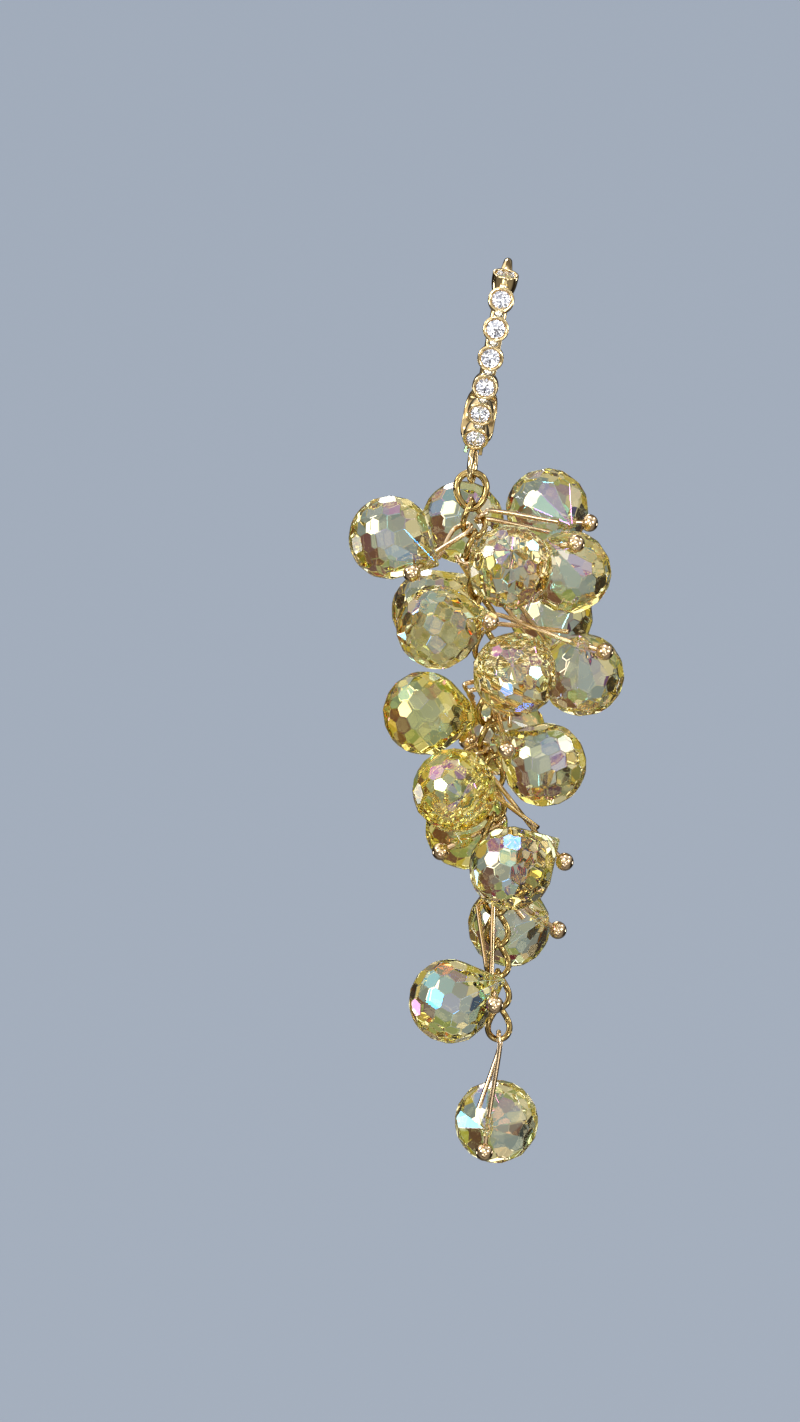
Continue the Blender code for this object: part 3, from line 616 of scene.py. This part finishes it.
def add(tree, kind, links=(), **settings):
    """Node with its settings, and its inputs by name or number: a socket to link or a value to hold."""
    node = tree.nodes.new(kind)
    for key, value in settings.items():
        setattr(node, key, value)
    for key, value in dict(links).items():
        if isinstance(value, bpy.types.NodeSocket):
            tree.links.new(value, node.inputs[key])
        else:
            node.inputs[key].default_value = value
    return node


def mixed(tree, share, first, second, blend="MIX"):
    """Colour mixed of two; the colour sockets of the node are its inputs 6 and 7 and its output 2."""
    node = add(tree, "ShaderNodeMix", data_type="RGBA", blend_type=blend)
    for slot, value in ((0, share), (6, first), (7, second)):
        if isinstance(value, bpy.types.NodeSocket):
            tree.links.new(value, node.inputs[slot])
        else:
            node.inputs[slot].default_value = value
    return node.outputs[2]


def plating_group():
    """Plated metal: cloudy change of tone, fine polishing lines, small pits; roughness and height to match."""
    tree, given, out = group("plating", (
        ("Gold", "Color", (0.9, 0.65, 0.25, 1)), ("Deep", "Color", (0.6, 0.36, 0.1, 1)),
        ("Roughness", "Float", 0.15), ("Wear", "Float", 0.5)),
        (("Color", "Color"), ("Roughness", "Float"), ("Height", "Float")))
    where = add(tree, "ShaderNodeTexCoord").outputs["Object"]
    cloud = add(tree, "ShaderNodeTexNoise", {"Vector": where, "Scale": 900.0, "Detail": 3.0}).outputs["Fac"]
    stretch = add(tree, "ShaderNodeMapping", {"Vector": where, "Scale": (1.0, 1.0, 0.12)}).outputs["Vector"]
    lines = add(tree, "ShaderNodeTexNoise", {"Vector": stretch, "Scale": 16000.0, "Detail": 2.0}).outputs["Fac"]
    pits = add(tree, "ShaderNodeTexVoronoi", {"Vector": where, "Scale": 2600.0}).outputs["Distance"]
    pit = add(tree, "ShaderNodeMapRange", {"Value": pits, "From Min": 0.05, "From Max": 0.16}).outputs["Result"]
    tone = add(tree, "ShaderNodeMapRange", {"Value": cloud, "From Min": 0.35, "From Max": 0.75}).outputs["Result"]
    share = add(tree, "ShaderNodeMath", {0: tone, 1: given.outputs["Wear"]}, operation="MULTIPLY").outputs[0]
    colour = mixed(tree, share, given.outputs["Gold"], given.outputs["Deep"])
    rough = add(tree, "ShaderNodeMath", {0: lines, 1: 0.16, 2: given.outputs["Roughness"]},
                operation="MULTIPLY_ADD").outputs[0]
    rough = add(tree, "ShaderNodeMath", {0: share, 1: 0.12, 2: rough}, operation="MULTIPLY_ADD").outputs[0]
    rough = add(tree, "ShaderNodeMath", {0: rough, 1: 0.08}, operation="SUBTRACT").outputs[0]
    height = add(tree, "ShaderNodeMath", {0: lines, 1: 0.35, 2: pit}, operation="MULTIPLY_ADD").outputs[0]
    for socket, value in (("Color", colour), ("Roughness", rough), ("Height", height)):
        tree.links.new(value, out.inputs[socket])
    return tree


def streak_group():
    """Faint cords and clouds in pressed glass: slow change of tint and a slight swell of the facets."""
    tree, given, out = group("streaks", (
        ("Body", "Color", (0.95, 0.92, 0.75, 1)), ("Deep", "Color", (0.9, 0.8, 0.5, 1))),
        (("Color", "Color"), ("Height", "Float")))
    where = add(tree, "ShaderNodeTexCoord").outputs["Object"]
    cloud = add(tree, "ShaderNodeTexNoise", {"Vector": where, "Scale": 260.0, "Detail": 1.0}).outputs["Fac"]
    share = add(tree, "ShaderNodeMapRange", {"Value": cloud, "From Min": 0.4, "From Max": 0.7}).outputs["Result"]
    colour = mixed(tree, share, given.outputs["Body"], given.outputs["Deep"])
    tree.links.new(colour, out.inputs["Color"])
    tree.links.new(cloud, out.inputs["Height"])
    return tree


def finish(name):
    """New material, its nodes and its shader."""
    mat = bpy.data.materials.new(name)
    mat.use_nodes = True
    return mat, mat.node_tree, mat.node_tree.nodes["Principled BSDF"]


def metal(name, gold, deep, roughness, wear):
    """Plated metal; the swell of its surface grows with its wear."""
    mat, tree, shader = finish(name)
    plating = add(tree, "ShaderNodeGroup", node_tree=PLATING)
    plating.inputs["Gold"].default_value = (*gold, 1)
    plating.inputs["Deep"].default_value = (*deep, 1)
    plating.inputs["Roughness"].default_value = roughness
    plating.inputs["Wear"].default_value = wear
    swell = {"Height": plating.outputs["Height"], "Strength": 0.05 * wear, "Distance": 0.02 * MM}
    bump = add(tree, "ShaderNodeBump", swell)
    for source, target in ((plating.outputs["Color"], "Base Color"), (plating.outputs["Roughness"], "Roughness"),
                           (bump.outputs["Normal"], "Normal")):
        tree.links.new(source, shader.inputs[target])
    shader.inputs["Metallic"].default_value = 1.0
    mat.diffuse_color = (*gold, 1)
    return mat


def glass(name, body, deep, ior, film, absorbed, density):
    """Clear glass: slight streaks, a thin bright film of the given nanometres, and colour taken up in its depth."""
    mat, tree, shader = finish(name)
    streaks = add(tree, "ShaderNodeGroup", node_tree=STREAKS)
    streaks.inputs["Body"].default_value = (*body, 1)
    streaks.inputs["Deep"].default_value = (*deep, 1)
    bump = add(tree, "ShaderNodeBump", {"Height": streaks.outputs["Height"], "Strength": 0.02, "Distance": 0.0001})
    tree.links.new(streaks.outputs["Color"], shader.inputs["Base Color"])
    tree.links.new(bump.outputs["Normal"], shader.inputs["Normal"])
    shader.inputs["Transmission Weight"].default_value = 1.0
    shader.inputs["Metallic"].default_value = 0.0
    shader.inputs["Roughness"].default_value = 0.0
    shader.inputs["IOR"].default_value = ior
    shader.inputs["Thin Film Thickness"].default_value = film
    shader.inputs["Thin Film IOR"].default_value = FILM_IOR
    if density:
        depth = add(tree, "ShaderNodeVolumeAbsorption", {"Color": (*absorbed, 1), "Density": density})
        tree.links.new(depth.outputs["Volume"], tree.nodes["Material Output"].inputs["Volume"])
    mat.diffuse_color = (*body, 1)
    return mat


def coat_facets(mesh, coats, side, seed):
    """Facets turned to the coated side take one of the film finishes by lot, the rest stay bare."""
    normals = np.empty(len(mesh.polygons) * 3, np.float32)
    mesh.polygons.foreach_get("normal", normals)
    lot = np.random.default_rng(seed).integers(0, len(coats), len(mesh.polygons))
    coated = normals.reshape(-1, 3) @ side > -0.15
    mesh.polygons.foreach_set("material_index", np.where(coated, lot, 0).astype(np.int32))
    for coat in coats[1:]:
        mesh.materials.append(coat)


PLATING = plating_group()
STREAKS = streak_group()


# Build

def build_hoop(gold, painted_highlight_bead_gold, stone_glass):
    """Front of the hoop with its bezels, beads, cheeks, loop, rivet and stones."""
    cups = [bezel_cup(k) for k in range(BEZEL_COUNT)]
    grains = [grain(k) for k in range(BEZEL_COUNT - 1)]
    cheeks = [hinge_cheek(side) for side in (-1, 1)]
    for name, parts, finished in (("hoop_rail", [rail_and_wire()], gold), ("bezel_cups", cups, gold),
                                  ("bezel_grains", grains, painted_highlight_bead_gold), ("hinge_cheeks", cheeks, gold),
                                  ("drop_loop", [drop_loop()], gold)):
        piece(name, mesh_of(name, leant(parts)), finished, ["hoop_front"])
    piece("hinge_rivet", mesh_of("hinge_rivet", leant([rivet()])), gold, ["hinge_pin"])
    cut = brilliant()
    for k in range(BEZEL_COUNT):
        lean = np.eye(4)
        lean[:3, :3] = LEAN
        mesh = placed(cut, lean @ bezel_place(k))
        piece(f"set_stone_{k + 1}", mesh, stone_glass, [f"hoop_stone_{k + 1}"])


def build_lever(gold):
    """Leaf with its notch for the ear wire, and the knuckle that turns on the rivet."""
    leaf = cut_by(mesh_of("lever_leaf", leant([lever_leaf()])), mesh_of("notch", leant([notch()])))
    leaf.shade_smooth()
    leaf.set_sharp_from_angle(angle=math.radians(40))
    # the darkened gold given here paints shade on the leaf and knuckle
    piece("lever_leaf", leaf, gold, ["back_lever"], "lever")
    piece("lever_knuckle", mesh_of("lever_knuckle", leant([knuckle()])), gold, ["back_lever"], "lever")


def build_drops(coats, pin_gold):
    """One cut drop copied to nineteen places, each in its tint and hung by its own pin."""
    cut = glass_drop()
    for seed, (name, *row) in enumerate(DROPS):
        ball, spot, run, hole, pin, tip = drop_layout(*row)
        place = np.eye(4)
        place[:3, :3] = np.stack([pin, np.cross(tip, pin), tip], 1)
        place[:3, 3] = ball
        mesh = placed(cut, place)
        tint = next((tint for tint, names in TINTED.items() if name in names), "pale")
        turn = math.radians(row[-1] * 3)
        side = unit(np.array([math.cos(turn), -0.5, math.sin(turn)]))  # the film was laid on from one side
        piece(f"glass_drop_{name}", mesh, coats[tint][0], [f"drop_{name}"])
        coat_facets(mesh, coats[tint], side, seed)
        wire = mesh_of(f"ball_pin_{name}", ball_pin(spot, run, hole, pin, tip), 50)
        piece(f"ball_pin_{name}", wire, pin_gold, [f"pin_{name}"])


def build_stage():
    """Pale sweep all round: a floor that curves up into a wall, turned from one profile."""
    a = np.linspace(0, math.pi / 2, 13)
    radius, curve, floor = 1.6, 0.45, -0.3
    bend = np.stack([radius - curve + curve * np.sin(a), floor + curve - curve * np.cos(a)], -1)
    mesh = mesh_of("sweep", [quads(turned_profile([(0, floor), *bend, (radius, 2.2)], 96), capped=False)])
    mesh.flip_normals()
    sweep = bpy.data.objects.new("sweep", mesh)
    bpy.context.scene.collection.objects.link(sweep)
    mat, tree, shader = finish("pale_sweep")
    shader.inputs["Base Color"].default_value = (0.1, 0.105, 0.11, 1)
    shader.inputs["Roughness"].default_value = 0.9
    shader.inputs["Specular IOR Level"].default_value = 0.1
    shader.inputs["Emission Color"].default_value = BACKDROP
    shader.inputs["Emission Strength"].default_value = 0.93
    mesh.materials.append(mat)
    sweep.visible_glossy = sweep.visible_transmission = sweep.visible_shadow = False


def lamp(name, place, aim, size, radiance):
    """Round soft box of a given diameter and brightness: watts are brightness times pi times its area."""
    light = bpy.data.lights.new(name, "AREA")
    light.shape, light.size = "DISK", size
    light.energy = radiance * math.pi * (math.pi * size**2 / 4)
    obj = bpy.data.objects.new(name, light)
    obj.location = place
    obj.rotation_euler = (Vector(aim) - Vector(place)).to_track_quat("-Z", "Y").to_euler()
    obj.visible_camera = obj.visible_transmission = False
    bpy.context.scene.collection.objects.link(obj)


def build_light():
    """Soft boxes round the part, each given by the direction from which it shines, its diameter and brightness."""
    for name, way, size, radiance in (
            ("window_left", (-0.72, -0.66, 0.20), 0.18, 11), ("window_right", (0.78, -0.60, 0.16), 0.17, 11),
            ("soft_top", (0.05, -0.15, 0.99), 0.16, 8), ("high_left", (-0.81, -0.14, 0.57), 0.13, 11),
            ("high_right", (0.72, 0.09, 0.69), 0.12, 11), ("high_rear", (-0.08, 0.74, 0.67), 0.14, 7),
            ("near_top", (-0.05, -0.86, 0.51), 0.09, 24), ("near_right", (0.22, -0.96, -0.10), 0.06, 26),
            ("low_left", (-0.30, -0.75, -0.59), 0.15, 4), ("low_right", (0.33, -0.81, -0.48), 0.12, 4),
            ("low_front", (0.0, -0.62, -0.72), 0.30, 0.8),
            ("rim_left", (-0.86, 0.47, -0.16), 0.15, 5), ("rim_right", (0.84, 0.52, -0.12), 0.14, 5)):
        lamp(name, VIEW_MIDDLE + unit(np.array(way)) * LAMP_DISTANCE, VIEW_MIDDLE, size, radiance)
    build_room()


def banded(tree, fac, bands, stepped=False):
    """Colour ramp over (position, colour) bands, eased or stepped."""
    node = add(tree, "ShaderNodeValToRGB", {"Fac": fac})
    ramp = node.color_ramp
    ramp.interpolation = "CONSTANT" if stepped else "EASE"
    ramp.elements[1].position = 1.0
    for k, (at, colour) in enumerate(bands):
        element = ramp.elements[0] if k == 0 else ramp.elements.new(at)
        element.position, element.color = at, (*colour, 1)
    if len(ramp.elements) > len(bands):
        ramp.elements.remove(ramp.elements[-1])
    return node.outputs["Color"]


def build_room():
    """Surroundings by direction. Metal sees soft shades from dark below to bright above; glass gathers
    a patchwork of windows, walls and dark gaps, but the pale backdrop straight behind it."""
    world = bpy.data.worlds.new("room")
    bpy.context.scene.world = world
    world.use_nodes = True
    tree = world.node_tree
    way = add(tree, "ShaderNodeTexCoord").outputs["Generated"]
    split = add(tree, "ShaderNodeSeparateXYZ", {"Vector": way})
    patch = add(tree, "ShaderNodeTexVoronoi", {"Vector": way, "Scale": 2.6, "Randomness": 0.9}).outputs["Color"]
    pick = add(tree, "ShaderNodeSeparateColor", {"Color": patch}).outputs["Red"]
    patches = banded(tree, pick, (
        (0.0, (0.04, 0.03, 0.025)), (0.06, (0.17, 0.08, 0.058)), (0.19, (0.29, 0.35, 0.15)),
        (0.38, (0.25, 0.32, 0.41)), (0.5, (0.34, 0.27, 0.40)), (0.6, (0.58, 0.49, 0.10)),
        (0.84, (0.66, 0.62, 0.48)), (0.95, (3.2, 3.2, 3.3))), True)
    facing = add(tree, "ShaderNodeMapRange", {"Value": split.outputs["Y"], "From Min": -0.95, "From Max": 0.0,
                                              "To Min": 1.14, "To Max": 0.9}).outputs["Result"]
    patches = mixed(tree, 1.0, patches, facing, "MULTIPLY")
    fine = add(tree, "ShaderNodeTexVoronoi", {"Vector": way, "Scale": 9.0}).outputs["Color"]
    sparkle = banded(tree, add(tree, "ShaderNodeSeparateColor", {"Color": fine}).outputs["Green"], (
        (0.0, (0.11, 0.12, 0.15)), (0.27, (0.28, 0.3, 0.38)), (0.5, (0.72, 0.75, 0.84)), (0.7, (2.5, 2.5, 2.6))), True)
    near = add(tree, "ShaderNodeMapRange", {"Value": split.outputs["Y"], "From Min": -0.6, "From Max": -0.72})
    patches = mixed(tree, near.outputs["Result"], patches, sparkle)
    behind = add(tree, "ShaderNodeMapRange", {"Value": split.outputs["Y"], "From Min": 0.9, "From Max": 0.97})
    through = mixed(tree, behind.outputs["Result"], patches, BACKDROP)
    rise = add(tree, "ShaderNodeMapRange", {"Value": split.outputs["Z"], "From Min": -1.0, "From Max": 1.0})
    shades = banded(tree, rise.outputs["Result"], (
        (0.0, (0.34, 0.31, 0.27)), (0.36, (0.17, 0.155, 0.135)), (0.5, (0.28, 0.265, 0.235)),
        (0.64, (0.62, 0.59, 0.55)), (1.0, (1.25, 1.2, 1.14))))
    rear = add(tree, "ShaderNodeMapRange", {"Value": split.outputs["Y"], "From Min": -0.1, "From Max": 0.35})
    above = add(tree, "ShaderNodeMapRange", {"Value": split.outputs["Z"], "From Min": 0.3, "From Max": 0.9}).outputs[0]
    dim = mixed(tree, rear.outputs["Result"], shades, mixed(tree, above, (0.05, 0.05, 0.05, 1), (0.6, 0.57, 0.53, 1)))
    wide = add(tree, "ShaderNodeTexVoronoi", {"Vector": way, "Scale": 1.5}).outputs["Color"]
    chance = add(tree, "ShaderNodeSeparateColor", {"Color": wide}).outputs["Green"]
    window = banded(tree, chance, ((0.0, (0.35, 0.3, 0.25)), (0.35, (1, 1, 1)), (0.85, (2.6, 2.5, 2.4))), True)
    mirrored = mixed(tree, 1.0, dim, window, "MULTIPLY")
    facing_us = add(tree, "ShaderNodeMapRange", {"Value": split.outputs["Y"], "From Min": -0.9, "From Max": -0.985})
    mirrored = mixed(tree, facing_us.outputs["Result"], mirrored, (0.95, 0.93, 0.88, 1))
    ray = add(tree, "ShaderNodeLightPath").outputs["Is Transmission Ray"]
    colour = mixed(tree, ray, mirrored, through)
    tree.links.new(colour, tree.nodes["Background"].inputs["Color"])


def build_camera():
    """Level view along +Y with a long lens, so far off that the frame is 138 mm high at the earring."""
    camera = bpy.data.cameras.new("camera")
    camera.lens, camera.sensor_width = 250, 36
    distance = PICTURE[1] / PIXELS_PER_METRE * camera.lens / camera.sensor_width
    across, up = (PICTURE / 2 - CROWN_IN_PICTURE) / PIXELS_PER_METRE * (1, -1)
    obj = bpy.data.objects.new("camera", camera)
    obj.location = (across, -distance, up)
    obj.rotation_euler = (math.pi / 2, 0, 0)
    camera.clip_start, camera.clip_end = 0.01, 10
    bpy.context.scene.collection.objects.link(obj)
    bpy.context.scene.camera = obj


def main():
    """Finishes first, then the pieces, then stage, light and camera."""
    gold = metal("polished_gold", (0.88, 0.71, 0.40), (0.74, 0.55, 0.27), 0.10, 0.4)
    # paler gold for the beads: a painted highlight that makes them stand out bright against the rims
    painted_highlight_bead_gold = metal("painted_highlight_bead_gold", (1.0, 0.95, 0.80), (0.98, 0.89, 0.68), 0.24, 0.2)
    # the polished gold darkened for the lever: painted shade, as if it lay in shadow behind the hoop
    painted_shade_lever_gold = metal("painted_shade_lever_gold", (0.66, 0.49, 0.24), (0.48, 0.34, 0.15), 0.12, 0.4)
    chain_gold = metal("chain_gold", (0.53, 0.385, 0.15), (0.33, 0.23, 0.08), 0.09, 0.5)
    pin_gold = metal("pin_gold", (0.86, 0.66, 0.42), (0.62, 0.45, 0.25), 0.14, 0.2)
    stone_glass = glass("clear_stone", (0.99, 0.99, 1.0), (0.97, 0.97, 1.0), STONE_IOR, 0, (1, 1, 1), 0)
    coats = {}
    for tint, body, deep, absorbed, density, films in (
            ("pale", (0.97, 0.945, 0.82), (0.96, 0.90, 0.70), (0.97, 0.90, 0.32), 58, (0, 148, 266, 178)),
            ("peach", (0.95, 0.92, 0.79), (0.935, 0.865, 0.66), (0.96, 0.885, 0.42), 66, (0, 148, 266, 178)),
            ("honey", (0.985, 0.935, 0.70), (0.975, 0.875, 0.54), (0.975, 0.865, 0.32), 42, (0, 148, 195, 178)),
            ("lemon", (1.0, 0.945, 0.52), (0.98, 0.895, 0.35), (0.985, 0.905, 0.18), 48, (0, 195, 178, 266))):
        coats[tint] = [glass(f"{tint}_{FILM_NAMES[film]}_glass", body, deep, DROP_IOR, film, absorbed, density)
                       for film in films]
    build_hoop(gold, painted_highlight_bead_gold, stone_glass)
    build_lever(painted_shade_lever_gold)
    piece("jump_ring_wire", mesh_of("jump_ring_wire", [jump_ring()]), chain_gold, ["jump_ring"])
    links = mesh_of("twisted_links", [link(k) for k in range(LINK_COUNT)])
    piece("twisted_links", links, chain_gold, ["link_chain"])
    build_drops(coats, pin_gold)
    build_stage()
    build_light()
    build_camera()
    scene = bpy.context.scene
    scene.view_settings.view_transform = "Standard"
    cycles = scene.cycles  # light crosses many walls of glass in the cluster
    cycles.max_bounces, cycles.glossy_bounces, cycles.transmission_bounces = 24, 14, 18


main()
